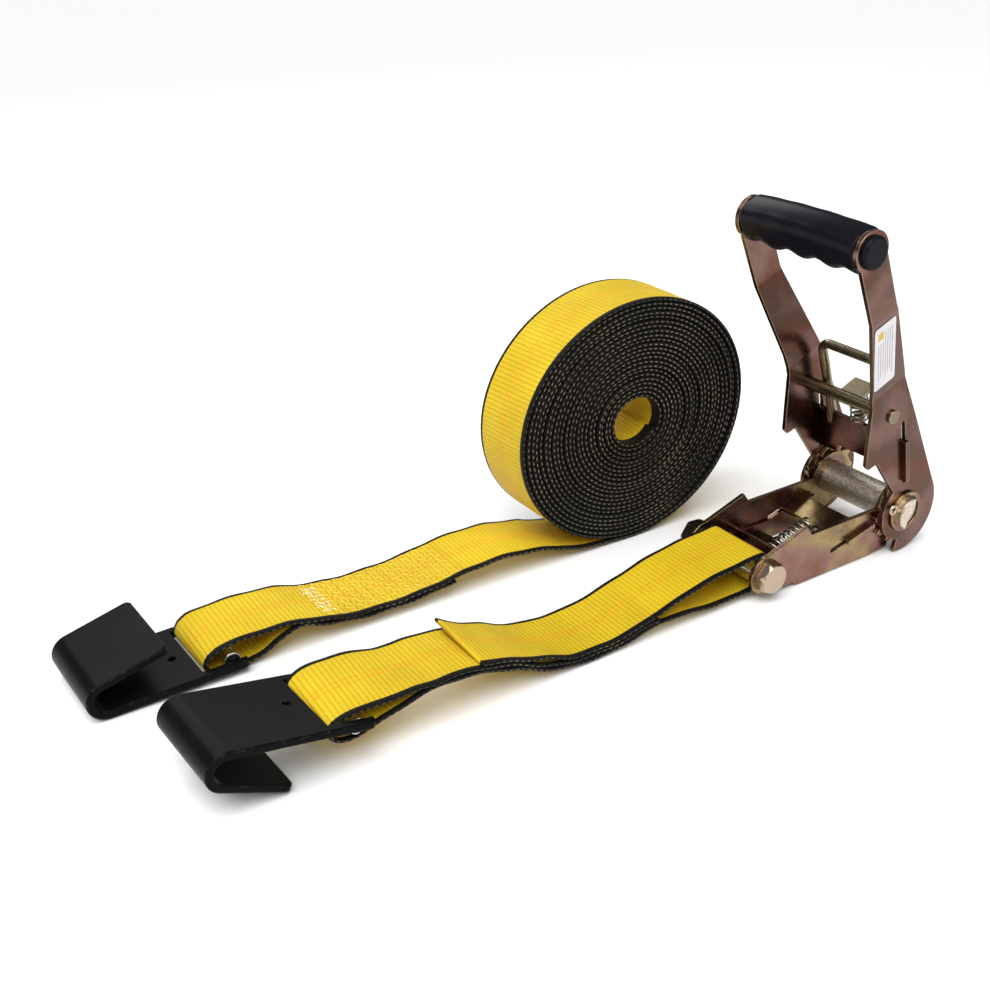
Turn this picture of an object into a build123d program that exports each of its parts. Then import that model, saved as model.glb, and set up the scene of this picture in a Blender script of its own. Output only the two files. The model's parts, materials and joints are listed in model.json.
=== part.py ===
from build123d import *
import os
from math import asin, atan2, cos, degrees, hypot, pi, radians, sin, tan

# A ratchet tie-down for 50 mm webbing, as it lies in storage: the ratchet with its handle raised, a short
# sewn strap on the ratchet's bolt, and a long strap rolled up beside it. Each strap ends in a flat hook.
# X runs along the straps from the hooks to the ratchet, Y across them and Z up from the floor.
# The parts are drawn about the ratchet's spindle and moved at the end, so that the origin is the middle
# of the whole object's footprint.

# ---- driving dimensions, in millimetres and degrees ----
WEB_WIDTH = 50.0
WEB_THICK = 2.7
SHEET = 3.0                     # steel sheet of the ratchet's plates
FIT = 0.06                      # radial clearance of a running fit
GAP = 0.3                       # clearance between parts that pass each other

PIVOT_Z = 31.0                  # height of the spindle above the floor
BASE_OUT = 30.5                 # outer face of a base plate, from the middle of the ratchet
WHEEL_OUT = 34.2                # outer face of a ratchet wheel
HANDLE_IN = 34.5                # inner face of a handle plate where it is narrow
HANDLE_WIDE_IN = 46.8           # inner face of a handle plate beside the grip

SPINDLE_R = 11.6
SPINDLE_SLOT = 4.6              # slot between the two halves, for the long strap
SPINDLE_TILT = 22.0             # how far the slot leans from upright
SPINDLE_END = 45.0              # the headed end of each half
SPINDLE_TAIL = 38.6             # its other end
COLLAR_R, COLLAR_THICK = 14.6, 2.0
TEETH = 12
WHEEL_TIP = 24.0
WHEEL_ROOT = 19.0

BOLT_X, BOLT_Z = -121.0, 17.0
BOLT_R = 6.0
BOLT_HEAD_FLATS = 19.0
BOLT_HEAD_LONG = 7.5
NUT_LONG = 9.5
SLEEVE_R = 9.1
BASE_END_R = 13.5

HANDLE_LEAN = 21.8              # from upright towards the strap
LOBE_R = 30.5                   # the handle plate's lobe behind and below the spindle
BOSS_R = 21.5                   # its smaller boss in front, which leaves the wheel's teeth in sight
GRIP_FAR = 212.0                # from the spindle to the middle of the grip
FLARE_FROM, FLARE_TO = 102.0, 165.0

PAWL_THICK = 3.0
PAWL_TIP = 24.7                 # just clear of the wheels' teeth
BASE_PAWL_FALL = 14.0           # the base pawl slides on a line that falls this much from the spindle
BASE_PAWL_BACK = 50.0
HANDLE_PAWL_SET = 10.0          # the handle pawl slides on a line set back this much from the handle
HANDLE_PAWL_BACK = 56.0
FINGER_ROD_R = 3.2              # the finger bar is a rod bent to a U, whose legs go down to the pawl
FINGER_R, FINGER_AT = 112.0, 7.4    # its top along the handle, and how far its plane is set back
FINGER_TILT = 3.0
FINGER_HALF = 25.3
FINGER_BEND_R = 7.5
FINGER_FOOT = 46.0
GRIP_ACROSS = -2.0              # the grip's middle stands this far in front of the handle's line
GRIP_BAR_R = 5.0
GRIP_CAP_R, GRIP_CAP_LONG = 10.5, 3.4
RIVET_HEAD_R, RIVET_HEAD_LONG = 4.6, 1.8
SPRING_SEAT_WIDE, SPRING_SEAT_THICK = 18.0, 2.4
LABEL_AT, LABEL_WIDE, LABEL_LONG, LABEL_THICK = 135.0, 19.0, 52.0, 0.3
CROSSBAR_R, CROSSBAR_ACROSS, CROSSBAR_ALONG = 4.3, 3.5, 80.0
CROSSBAR_RIVET_R = 3.0

HOOK_WIDE = 62.0
HOOK_THICK = 5.0
HOOK_FOLD_R = 12.0
HOOK_LONG = 98.0
HOOK_FLAP = 42.0
HOOK_OPEN = 13.0                # the flap opens away from the plate by this angle
HOOK_BAR_AT = 89.0              # the webbing bar, from the outside of the fold
HOOK_BAR_UP = 5.0
HOOK_SLEEVE_R = 4.8
HOOK_SLOT_FROM = 69.8           # the webbing slot, from here to the open rear end
HOOK_HOLE_AT = 60.0
HOOK_CORNER_R = 4.0

SHORT_AXIS = (-419.0, 20.5)     # where the short strap's loop holds its hook
SHORT_PITCH = 10.7
LONG_AXIS = (-438.0, 8.1)
LONG_YAW = 1.3
ROLL_X, ROLL_Y = -137.5, 107.5
ROLL_LONG, ROLL_TALL = 192.0, 175.0    # the roll stands on edge and sags a little under its weight
ROLL_FOOT = 0.2
ROLL_HUB_R = 16.0

parts = {}


# ---- small makers ----
def slab(outline, low, high):
    """An outline in X and Z, made solid between two places along Y."""
    return Pos(0, high, 0) * extrude(Plane.XZ * outline, amount=high - low)


def both_sides(name, solid):
    """A part on the near side and its mirror image on the far side."""
    parts[name + "_near"] = solid
    parts[name + "_far"] = mirror(solid, about=Plane.XZ)


def poly(*points):
    """A polygon that always faces the same way, so that it joins with circles."""
    following = points[1:] + points[:1]
    turn = sum(x1 * y2 - x2 * y1 for (x1, y1), (x2, y2) in zip(points, following))
    return Polygon(*(points if turn > 0 else reversed(points)), align=None)


def rod(radius, low, high, x=0.0, z=0.0):
    """A round bar along Y."""
    bar = Cylinder(radius, high - low, rotation=(90, 0, 0))
    return Pos(x, (low + high) / 2, z) * bar


def slot_cut(length_from, length_to, wide):
    """A slot outline along the local upright, with round ends."""
    middle = (length_from + length_to) / 2
    return Pos(0, middle) * Rot(0, 0, 90) * SlotOverall(length_to - length_from, wide)


def coil(radius, wire, turns, length):
    """A compression spring along Z with its foot at zero."""
    path = Helix(pitch=(length - 2 * wire) / turns, height=length - 2 * wire, radius=radius)
    section = Plane(origin=path @ 0, z_dir=path % 0) * Circle(wire)
    return Pos(0, 0, wire) * sweep(section, path=path)


def strip(*lines):
    """Webbing on edge: its middle lines in X and Z, made one webbing thick and wide."""
    outline = Sketch()
    for line in lines:
        outline += trace(line, WEB_THICK)
    return slab(outline, -WEB_WIDTH / 2, WEB_WIDTH / 2)


# ---- base of the ratchet ----
def base_place(solid):
    return Pos(0, 0, PIVOT_Z) * solid


def pawl_line_place(fall, solid):
    """Turns a part drawn along the local upright onto a line through the spindle."""
    return Pos(0, 0, PIVOT_Z) * Rot(0, -90 - fall, 0) * solid


def base_plates():
    bolt = (BOLT_X, BOLT_Z)
    outline = poly(
        (BOLT_X, BOLT_Z + BASE_END_R),
        (-87, 41.5),
        (-82, 34.5),
        (-20, 34.5),
        (-2, 12),
        (-5, 1.6),
        (-26, 0),
        (-91, 0),
        (-96, 2.6),
        (BOLT_X, BOLT_Z - BASE_END_R),
    )
    outline += Pos(*bolt) * Circle(BASE_END_R)
    outline += Pos(0, PIVOT_Z) * Circle(19.0)
    outline -= Pos(*bolt) * Circle(BOLT_R + FIT)
    outline -= Pos(0, PIVOT_Z) * Circle(SPINDLE_R + FIT)
    slide = slot_cut(22.6, 64.0, PAWL_THICK + 2 * GAP)
    outline -= Pos(0, PIVOT_Z) * Rot(0, 0, 90 + BASE_PAWL_FALL) * slide
    plate = slab(outline, -BASE_OUT, -BASE_OUT + SHEET)
    rim = plate.faces().sort_by(Axis.Y)[0].outer_wire().edges()
    both_sides("base_plate", chamfer(rim, 0.4))


def base_tray():
    """A folded tray spot-welded between the base plates: it holds them apart and backs the pawl spring."""
    inside = BASE_OUT - SHEET - FIT
    floor_low, floor_high = 0.4, 1.9
    tray = Pos(-80, 0, (floor_low + floor_high) / 2) * Box(42, 2 * inside, floor_high - floor_low)
    tray += Pos(-96, 0, 11.5) * Box(2.5, 2 * inside, 18.6)
    wing = Box(42, 2, 14)
    for side in (-1, 1):
        tray += Pos(-80, side * (inside - 1), 8.2) * wing
    return tray


def bolt_set():
    head = extrude(RegularPolygon(BOLT_HEAD_FLATS / 2, 6, major_radius=False), BOLT_HEAD_LONG)
    head &= Cone(BOLT_HEAD_FLATS * 0.68, BOLT_HEAD_FLATS * 0.50, BOLT_HEAD_LONG,
                 align=(Align.CENTER, Align.CENTER, Align.MIN))
    head = Rot(90, 0, 0) * head
    face = BASE_OUT + GAP / 3
    bolt = Pos(0, -face, 0) * head + rod(BOLT_R, -face - 0.5, BASE_OUT + NUT_LONG + 3.0)
    nut = extrude(RegularPolygon(BOLT_HEAD_FLATS / 2, 6, major_radius=False), NUT_LONG)
    nut -= Cylinder(BOLT_R + FIT, 3 * NUT_LONG)
    nut &= Cone(BOLT_HEAD_FLATS * 0.70, BOLT_HEAD_FLATS * 0.55, NUT_LONG,
                align=(Align.CENTER, Align.CENTER, Align.MIN))
    nut = Pos(0, face, 0) * Rot(-90, 0, 0) * nut
    inside = BASE_OUT - SHEET - GAP
    sleeve = rod(SLEEVE_R, -inside, inside) - rod(BOLT_R + FIT, -inside - 1, inside + 1)
    at = Pos(BOLT_X, 0, BOLT_Z)
    return at * Rot(0, 12, 0) * bolt, at * Rot(0, 5, 0) * nut, at * sleeve


def base_pawl():
    """The locking pawl: a steel plate whose ears pass through the base plates to the ratchet wheels."""
    ear = WHEEL_OUT - 0.1
    plate = Pos(0, 0, (30 + BASE_PAWL_BACK) / 2) * Box(PAWL_THICK, 2 * ear, BASE_PAWL_BACK - 30)
    for side in (-1, 1):
        nose = Box(PAWL_THICK, ear - 20, BASE_PAWL_BACK - PAWL_TIP)
        plate += Pos(0, side * (ear + 20) / 2, (PAWL_TIP + BASE_PAWL_BACK) / 2) * nose
    plate += Pos(0, 0, BASE_PAWL_BACK + 3) * Box(PAWL_THICK, 7, 8)
    return plate


# ---- spindle ----
def spindle_half(side):
    """One half of the split spindle: round outside, flat where the strap passes."""
    section = Circle(SPINDLE_R) - Pos(SPINDLE_R - SPINDLE_SLOT / 2, 0) * Rectangle(2 * SPINDLE_R, 3 * SPINDLE_R)
    low, high = -SPINDLE_END, SPINDLE_TAIL
    bar = slab(section, low, high)
    tips = bar.edges().filter_by(Axis.Z, reverse=True).group_by(Axis.Y)
    bar = chamfer(list(tips[0]) + list(tips[-1]), 0.7)
    bar -= Pos(0, -SPINDLE_END + 3.5, 0) * Rot(0, 90, 0) * Cylinder(1.6, 60)
    turn = Rot(0, SPINDLE_TILT, 0)
    if side > 0:
        turn = turn * Rot(0, 0, 180)
    return base_place(turn * bar)


def ratchet_wheel():
    points = []
    step = 2 * pi / TEETH
    for tooth in range(TEETH):
        start = tooth * step
        for radius, share in ((WHEEL_ROOT, 0.0), (WHEEL_TIP, 0.08), (WHEEL_TIP, 0.30), (WHEEL_ROOT, 0.92)):
            angle = start + share * step
            points.append((radius * cos(angle), radius * sin(angle)))
    outline = poly(*points) - Circle(SPINDLE_R)
    return base_place(slab(outline, -WHEEL_OUT, -BASE_OUT - GAP))


def spindle_collar():
    """A flat ring on the headed end, between the handle plate and the cotter pins."""
    low = -HANDLE_IN - SHEET - GAP - COLLAR_THICK
    ring = rod(COLLAR_R, low, low + COLLAR_THICK)
    ring = chamfer(ring.faces().sort_by(Axis.Y)[0].edges(), 0.5)
    return base_place(ring - rod(SPINDLE_R + 0.02, low - 1, low + COLLAR_THICK + 1))


def cotter_pin():
    """A split pin that keeps the headed end of a spindle half from sliding in."""
    leg = Pos(-9.4, 0, 0) * Rot(0, 90, 0) * Cylinder(1.5, 13.4)
    eye = Pos(-18.2, 0, 0) * Rot(90, 0, 0) * Torus(2.7, 1.15)
    pin = Pos(0, -SPINDLE_END + 3.5, 0) * (leg + eye)
    return base_place(Rot(0, SPINDLE_TILT, 0) * pin), base_place(Rot(0, SPINDLE_TILT, 0) * Rot(0, 0, 180) * pin)


# ---- handle: drawn upright about the spindle, then leaned ----
def handle_place(solid):
    return Pos(0, 0, PIVOT_Z) * Rot(0, -HANDLE_LEAN, 0) * solid


def handle_plates():
    outline = poly(
        (-6.5, 20),
        (-16, 54),
        (-24.5, 54.8),
        (-25.8, 58.5),
        (-11.5, 96),
        (-10, 110),
        (-12, 168),
        (-13.5, 212),
        (9.5, 212),
        (10.5, 168),
        (19.5, 108),
        (21, 94),
        (24.5, 62),
        (LOBE_R, 0),
        (0, 0),
    )
    outline += Circle(BOSS_R)
    outline += Circle(LOBE_R) & poly((0, 0), (-18.5, -LOBE_R), (LOBE_R, -LOBE_R), (LOBE_R, 6))
    outline += Pos(GRIP_ACROSS, GRIP_FAR) * Circle(13.5)
    outline -= Circle(SPINDLE_R + FIT)
    outline -= Rot(0, 0, -HANDLE_PAWL_SET) * slot_cut(22.6, 71.0, PAWL_THICK + 2 * GAP)
    outline -= Pos(CROSSBAR_ACROSS, CROSSBAR_ALONG) * Circle(CROSSBAR_RIVET_R)
    outline -= Pos(GRIP_ACROSS, GRIP_FAR) * Circle(GRIP_BAR_R)
    top = GRIP_FAR + 20
    near_in, wide_in = HANDLE_IN, HANDLE_WIDE_IN
    run = hypot(wide_in - near_in, FLARE_TO - FLARE_FROM)
    skew = SHEET * (run - (FLARE_TO - FLARE_FROM)) / (wide_in - near_in)
    bent = poly(
        (-near_in, -60),
        (-near_in, FLARE_FROM),
        (-wide_in, FLARE_TO),
        (-wide_in, top),
        (-wide_in - SHEET, top),
        (-wide_in - SHEET, FLARE_TO - skew),
        (-near_in - SHEET, FLARE_FROM - skew),
        (-near_in - SHEET, -60),
    )
    sheet = Pos(-60, 0, 0) * extrude(Plane.YZ * bent, amount=120)
    plate = slab(outline, -wide_in - SHEET - 5, -near_in + 5) & sheet
    both_sides("handle_plate", handle_place(plate.solid()))


def grip():
    """The moulded grip: a rounded bar, crowned on top and waved underneath for the fingers."""
    half = HANDLE_WIDE_IN - GAP
    section = Pos(GRIP_ACROSS, GRIP_FAR) * RectangleRounded(27, 31, 11)
    bar = slab(section, -half, half)
    waves = 4
    reach = 2 * half / waves
    low = GRIP_FAR - 15.5
    points = [(-half, low + 3.0)]
    for wave in range(waves):
        start = -half + wave * reach
        points.append((start + reach / 2, low + 3.6))
        if wave < waves - 1:
            points.append((start + reach, low))
    points.append((half, low + 3.0))
    under = Spline(*points)
    over = ThreePointArc((half, GRIP_FAR + 12.0), (0, GRIP_FAR + 15.4), (-half, GRIP_FAR + 12.0))
    side = make_face([under, Line(under @ 1, over @ 0), over, Line(over @ 1, under @ 0)])
    bar &= Pos(-40, 0, 0) * extrude(Plane.YZ * side, amount=80)
    bar -= rod(GRIP_BAR_R, -half - 1, half + 1, GRIP_ACROSS, GRIP_FAR)
    return handle_place(bar)


def handle_bits():
    end = HANDLE_WIDE_IN + SHEET
    bar = rod(GRIP_BAR_R, -end, end, GRIP_ACROSS, GRIP_FAR)
    cross = rod(CROSSBAR_R, -HANDLE_IN, HANDLE_IN, CROSSBAR_ACROSS, CROSSBAR_ALONG)
    seat = Box(SPRING_SEAT_WIDE, SPRING_SEAT_WIDE, SPRING_SEAT_THICK)
    cross += Pos(CROSSBAR_ACROSS + SPRING_SEAT_WIDE / 2, 0, CROSSBAR_ALONG + 1) * seat
    outer = HANDLE_IN + SHEET
    cross += rod(CROSSBAR_RIVET_R, -outer, outer, CROSSBAR_ACROSS, CROSSBAR_ALONG)
    for side in (-1, 1):
        rivet = rod(RIVET_HEAD_R, 0, RIVET_HEAD_LONG, CROSSBAR_ACROSS, CROSSBAR_ALONG)
        cross += Pos(0, outer if side > 0 else -outer - RIVET_HEAD_LONG, 0) * rivet
    caps = []
    for side in (-1, 1):
        ends = sorted((side * end, side * (end + GRIP_CAP_LONG)))
        cap = rod(GRIP_CAP_R, *ends, GRIP_ACROSS, GRIP_FAR)
        rim = cap.edges().filter_by(GeomType.CIRCLE).sort_by(Axis.Y)
        caps.append(fillet(rim[0] if side < 0 else rim[-1], 2.2))
    flare = atan2(HANDLE_WIDE_IN - HANDLE_IN, FLARE_TO - FLARE_FROM)
    face = HANDLE_IN + SHEET + (LABEL_AT - FLARE_FROM + SHEET * tan(flare / 2)) * tan(flare)
    label = Pos(-0.5, -face - LABEL_THICK / 2 - 0.02, LABEL_AT) * Rot(degrees(flare), 0, 0)
    label *= Box(LABEL_WIDE, LABEL_THICK, LABEL_LONG)
    return handle_place(bar), handle_place(cross), [handle_place(cap) for cap in caps], handle_place(label)


def handle_pawl():
    """The driving pawl: ears in the handle plates' slots, and the bent rod that draws it back."""
    ear = HANDLE_IN + SHEET + 3.5
    turned = Rot(0, HANDLE_PAWL_SET, 0)
    tall = HANDLE_PAWL_BACK - PAWL_TIP
    plate = Pos(0, 0, (PAWL_TIP + HANDLE_PAWL_BACK) / 2) * Box(PAWL_THICK, 2 * ear, tall)
    plate -= Pos(0, 0, PAWL_TIP) * Box(2 * PAWL_THICK, 40, 12)
    plate += Pos(0, 0, HANDLE_PAWL_BACK + 3) * Box(PAWL_THICK, 7, 8)
    plate = turned * plate
    corner = FINGER_HALF - FINGER_BEND_R
    bend = FINGER_R - FINGER_BEND_R
    mid = FINGER_BEND_R * sin(radians(45))
    path = Wire([
        Line((0, -FINGER_HALF, FINGER_FOOT), (0, -FINGER_HALF, bend)),
        ThreePointArc((0, -FINGER_HALF, bend), (0, -corner - mid, bend + mid), (0, -corner, FINGER_R)),
        Line((0, -corner, FINGER_R), (0, corner, FINGER_R)),
        ThreePointArc((0, corner, FINGER_R), (0, corner + mid, bend + mid), (0, FINGER_HALF, bend)),
        Line((0, FINGER_HALF, bend), (0, FINGER_HALF, FINGER_FOOT)),
    ])
    foot = Plane(origin=(0, -FINGER_HALF, FINGER_FOOT), z_dir=(0, 0, 1))
    finger = sweep(foot * Circle(FINGER_ROD_R), path=path)
    finger = Pos(FINGER_AT, 0, 0) * Rot(0, FINGER_TILT, 0) * finger
    plate -= finger
    return handle_place(plate.solid()), handle_place(finger)


# ---- hooks: drawn flat on the floor with the jaw upwards, fold at zero ----
def hook():
    r_out, r_in = HOOK_FOLD_R, HOOK_FOLD_R - HOOK_THICK
    middle = Vector(r_out, r_out)

    def on_fold(radius, angle):
        return middle + Vector(radius, 0).rotate(Axis.Z, angle)

    lean = 90 + HOOK_OPEN
    along = Vector(HOOK_FLAP, 0).rotate(Axis.Z, HOOK_OPEN)
    outside = ThreePointArc((r_out, 0), (0, r_out), on_fold(r_out, lean))
    inside = ThreePointArc(on_fold(r_in, lean), (HOOK_THICK, r_out), (r_out, HOOK_THICK))
    tip_out, tip_in = outside @ 1 + along, inside @ 0 + along
    end_low, end_high = (HOOK_LONG, 0), (HOOK_LONG, HOOK_THICK)
    profile = make_face([
        Line(end_low, (r_out, 0)), outside, Line(outside @ 1, tip_out), Line(tip_out, tip_in),
        Line(tip_in, inside @ 0), inside, Line((r_out, HOOK_THICK), end_high), Line(end_high, end_low),
    ])
    body = slab(profile, -HOOK_WIDE / 2, HOOK_WIDE / 2)
    corners = [edge for edge in body.edges().filter_by(GeomType.LINE) if abs(edge.length - HOOK_THICK) < 0.01]
    body = fillet(corners, HOOK_CORNER_R)
    sides = body.faces().sort_by(Axis.Y)
    body = chamfer(sides[0].edges() + sides[-1].edges(), 0.8)
    slot_wide = WEB_WIDTH + 1.6
    body -= Pos((HOOK_SLOT_FROM + HOOK_LONG) / 2 + 1, 0, 0) * Box(
        HOOK_LONG - HOOK_SLOT_FROM + 2, slot_wide, 3 * HOOK_THICK)
    body += Pos(HOOK_BAR_AT, 0, HOOK_BAR_UP) * Box(6.0, slot_wide + 3, 5.0)
    body -= Pos(HOOK_HOLE_AT, -2.5, 0) * Cylinder(2.6, 3 * HOOK_THICK)
    sleeve = rod(HOOK_SLEEVE_R, -slot_wide / 2 + 0.8, slot_wide / 2 - 0.8, HOOK_BAR_AT, HOOK_BAR_UP)
    sleeve -= Pos(HOOK_BAR_AT, 0, HOOK_BAR_UP) * Box(6.1, slot_wide + 3, 5.1)
    return body, sleeve


def hook_place(axis, lean, yaw, flip, y, solid):
    """Moves a hook so that its webbing bar is on the given axis."""
    solid = Pos(-HOOK_BAR_AT, 0, -HOOK_BAR_UP) * solid
    if flip:
        solid = Rot(180, 0, 0) * solid
    return Pos(axis[0], y, axis[1]) * Rot(0, 0, yaw) * Rot(0, lean, 0) * solid


LOOP_R = HOOK_SLEEVE_R + GAP + WEB_THICK / 2


def loop_turn(x, z, crown=0.0):
    """The webbing's turn in front of a hook's bar, as its middle line. Slack lifts its upper leg."""
    front = x - 9.0
    high = z + LOOP_R + crown
    return [
        ThreePointArc((front + 1, high), (front - LOOP_R - crown / 3, z + crown / 2), (front, z - LOOP_R)),
        Line((front, z - LOOP_R), (x, z - LOOP_R)),
    ], (front + 1, high)


# ---- short strap ----
def short_webbing():
    """Three layers in the sewn middle, a loop round the ratchet's bolt and a loop round the hook's bar."""
    x, z = SHORT_AXIS
    turn, crest = loop_turn(x, z, 4.5)
    around = SLEEVE_R + GAP + WEB_THICK / 2
    low = [(x, z - LOOP_R), (-400, 18.5), (-372, 25.0), (-345, 24.0), (-318, 17.5), (-292, 7.2), (-270, 2.4),
           (-240, 2.3), (-216, 6.6), (-196, 8.0), (-165, 5.2), (-142, 4.6), (BOLT_X, BOLT_Z - around)]
    under = Spline(*low, tangents=[(1, 0.1), (1, 0.12)])
    layer = [(px, pz + WEB_THICK) for px, pz in low[2:9]]
    middle = Spline(crest, (x + 4, 30.6), (-394, 30.4), *layer, tangents=[(1, 0.1), (1, 0.3)])
    top = [(px, pz + 2 * WEB_THICK) for px, pz in low[4:9]]
    upper = Spline((-338, 28.3), *top, (-196, 18.4), (-170, 24.0), (-145, 26.6), (BOLT_X, BOLT_Z + around),
                   tangents=[(1, -0.15), (1, 0.04)])
    wrap = ThreePointArc((BOLT_X, BOLT_Z - around), (BOLT_X + around, BOLT_Z), (BOLT_X, BOLT_Z + around))
    return strip(under, middle, upper, wrap, *turn)


# ---- long strap ----
def long_tail():
    """The free end of the long strap: from the foot of the roll to its hook, with the end sewn back."""
    x, z = LONG_AXIS
    turn, crest = loop_turn(x, z, 2.5)
    ground = WEB_THICK / 2 + ROLL_FOOT
    main = [(ROLL_X, ground), (-178, 4.6), (-208, 12.0), (-238, 16.4), (-268, 15.6), (-300, 11.2), (-332, 9.6),
            (-362, 11.5), (-392, 18.0), (-418, 19.4), crest]
    over = Spline(*main, tangents=[(-1, 0), (-1, -0.2)])
    back = [(px, pz - WEB_THICK) for px, pz in main[5:9]]
    under = Spline((x, z - LOOP_R), (-419, 4.2), (-406, 11.4), *reversed(back), (-272, 11.6),
                   tangents=[(1, 0.0), (1, 0.25)])
    return strip(over, under, *turn)


def long_place(solid):
    """The tail runs from the foot of the roll at a small angle to X."""
    return Pos(ROLL_X, ROLL_Y, 0) * Rot(0, 0, -LONG_YAW) * Pos(-ROLL_X, 0, 0) * solid


def build():
    base_plates()
    parts["base_tray"] = base_tray()
    parts["strap_bolt"], parts["strap_bolt_nut"], parts["bolt_sleeve"] = bolt_set()
    parts["base_pawl"] = pawl_line_place(BASE_PAWL_FALL, base_pawl())
    spring_from, spring_to = BASE_PAWL_BACK + GAP, 93.2
    spring = Pos(0, 0, spring_from) * coil(5.7, 0.9, 9, spring_to - spring_from)
    parts["base_spring"] = pawl_line_place(BASE_PAWL_FALL, spring)
    parts["spindle_half_front"] = spindle_half(-1)
    parts["spindle_half_rear"] = spindle_half(1)
    wheel = ratchet_wheel()
    both_sides("ratchet_wheel", wheel)
    parts["spindle_collar"] = spindle_collar()
    parts["cotter_pin_near"], parts["cotter_pin_far"] = cotter_pin()
    handle_plates()
    parts["grip"] = grip()
    parts["grip_bar"], parts["handle_crossbar"], caps, parts["blank_label"] = handle_bits()
    parts["grip_cap_near"], parts["grip_cap_far"] = caps
    parts["handle_pawl"], parts["finger_bar"] = handle_pawl()
    spring = Pos(0, 0, HANDLE_PAWL_BACK + GAP) * coil(5.6, 0.75, 6, 79.2 - HANDLE_PAWL_BACK - GAP)
    parts["handle_spring"] = handle_place(Rot(0, HANDLE_PAWL_SET, 0) * spring)
    body, sleeve = hook()
    parts["short_webbing"] = short_webbing()
    lean = SHORT_PITCH
    parts["short_hook_plate"] = hook_place(SHORT_AXIS, lean, 0, True, 0, body)
    parts["short_hook_sleeve"] = hook_place(SHORT_AXIS, lean, 0, True, 0, sleeve)
    lean = -degrees(asin((LONG_AXIS[1] - HOOK_BAR_UP) / HOOK_BAR_AT))
    parts["long_hook_plate"] = long_place(hook_place(LONG_AXIS, lean, 0, False, 0, body))
    parts["long_hook_sleeve"] = long_place(hook_place(LONG_AXIS, lean, 0, False, 0, sleeve))
    middle = ROLL_FOOT + ROLL_TALL / 2
    outline = Pos(ROLL_X, middle) * Ellipse(ROLL_LONG / 2, ROLL_TALL / 2)
    parts["long_webbing_tail"] = long_place(long_tail() - slab(outline, -WEB_WIDTH, WEB_WIDTH))
    outline -= Pos(ROLL_X, middle) * Circle(ROLL_HUB_R)
    parts["long_webbing_roll"] = long_place(slab(outline, -WEB_WIDTH / 2, WEB_WIDTH / 2))


build()

# ---- one origin for the whole object: the middle of its footprint, on the floor ----
whole = Compound(list(parts.values()))
box = whole.bounding_box()
ORIGIN = Vector((box.min.X + box.max.X) / 2, (box.min.Y + box.max.Y) / 2, box.min.Z)
os.makedirs("parts", exist_ok=True)
for name, solid in parts.items():
    export_step(Pos(-ORIGIN.X, -ORIGIN.Y, -ORIGIN.Z) * solid, "parts/" + name + ".step")
print("size", box.size, "origin", ORIGIN)
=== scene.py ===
# %% [markdown]
# # A ratchet tie-down, dressed in Blender
# A tie-down holds cargo on a trailer: a steel ratchet pulls a webbing strap tight. The steel parts come from a
# CAD model that also knows how they move, so this lesson keeps each of them in its place and gives it a finish.
# The webbing is soft. It is made here as long strips that follow the same route as the plain CAD solids.

# %% Load the frame
import json
from math import cos, hypot, pi, radians, sin

import bpy
import numpy as np
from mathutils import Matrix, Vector


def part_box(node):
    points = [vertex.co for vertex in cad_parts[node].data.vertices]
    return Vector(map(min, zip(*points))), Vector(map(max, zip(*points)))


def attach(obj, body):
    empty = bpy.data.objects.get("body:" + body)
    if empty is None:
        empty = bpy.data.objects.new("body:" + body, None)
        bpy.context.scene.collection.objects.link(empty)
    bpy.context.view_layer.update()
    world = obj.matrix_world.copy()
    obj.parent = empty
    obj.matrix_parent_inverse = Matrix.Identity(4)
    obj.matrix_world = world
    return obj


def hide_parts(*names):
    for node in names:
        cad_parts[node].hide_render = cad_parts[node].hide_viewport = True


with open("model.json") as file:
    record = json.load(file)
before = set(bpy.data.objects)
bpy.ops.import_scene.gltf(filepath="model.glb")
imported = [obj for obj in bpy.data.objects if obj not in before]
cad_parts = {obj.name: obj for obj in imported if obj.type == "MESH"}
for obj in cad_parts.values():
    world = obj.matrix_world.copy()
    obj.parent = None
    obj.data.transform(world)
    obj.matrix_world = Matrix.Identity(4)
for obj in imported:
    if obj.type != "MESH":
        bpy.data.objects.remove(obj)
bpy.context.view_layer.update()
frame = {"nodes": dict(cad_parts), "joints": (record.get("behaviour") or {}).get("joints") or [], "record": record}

MM = 0.001
joints = {joint["name"]: joint for joint in frame["joints"]}
pivot = Vector(joints["handle_swing"]["pos_m"])
bolt = Vector(joints["short_strap_swing"]["pos_m"])
short_bar = Vector(joints["short_hook_swing"]["pos_m"])
long_bar = Vector(joints["long_hook_swing"]["pos_m"])
print("spindle at", [round(value, 4) for value in pivot], "bolt at", [round(value, 4) for value in bolt])

# %% [markdown]
# ## Camera
# The camera stands to the left and in front of the ratchet and looks a quarter down at it. Its place is measured
# from the spindle, because everything else is too. The picture is square, and one lens length fits its width.

# %% Camera
HEADING, FALL = 0.613, 0.4627
FROM_SPINDLE = Vector((-0.6995, -0.5542, 0.4231))
camera_data = bpy.data.cameras.new("camera")
camera_data.sensor_width = 36.0
camera_data.lens = 49.69
camera_data.shift_x = -0.004
camera = bpy.data.objects.new("camera", camera_data)
camera.location = pivot + FROM_SPINDLE
camera.rotation_euler = (pi / 2 - FALL, 0.0, -HEADING)
bpy.context.collection.objects.link(camera)
bpy.context.scene.camera = camera
print("camera", [round(value, 3) for value in camera.location], "lens", camera_data.lens, "mm")

# %% [markdown]
# ## Shader arithmetic
# A procedural finish is mostly sums: stripes, masks and noise. Adding Math nodes by hand hides the sum, so a small
# class wraps a socket and lets Python's own operators add the nodes. A finish owns the node tree, and one method
# adds any other kind of node from its type, its settings and the values of its sockets.


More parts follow.
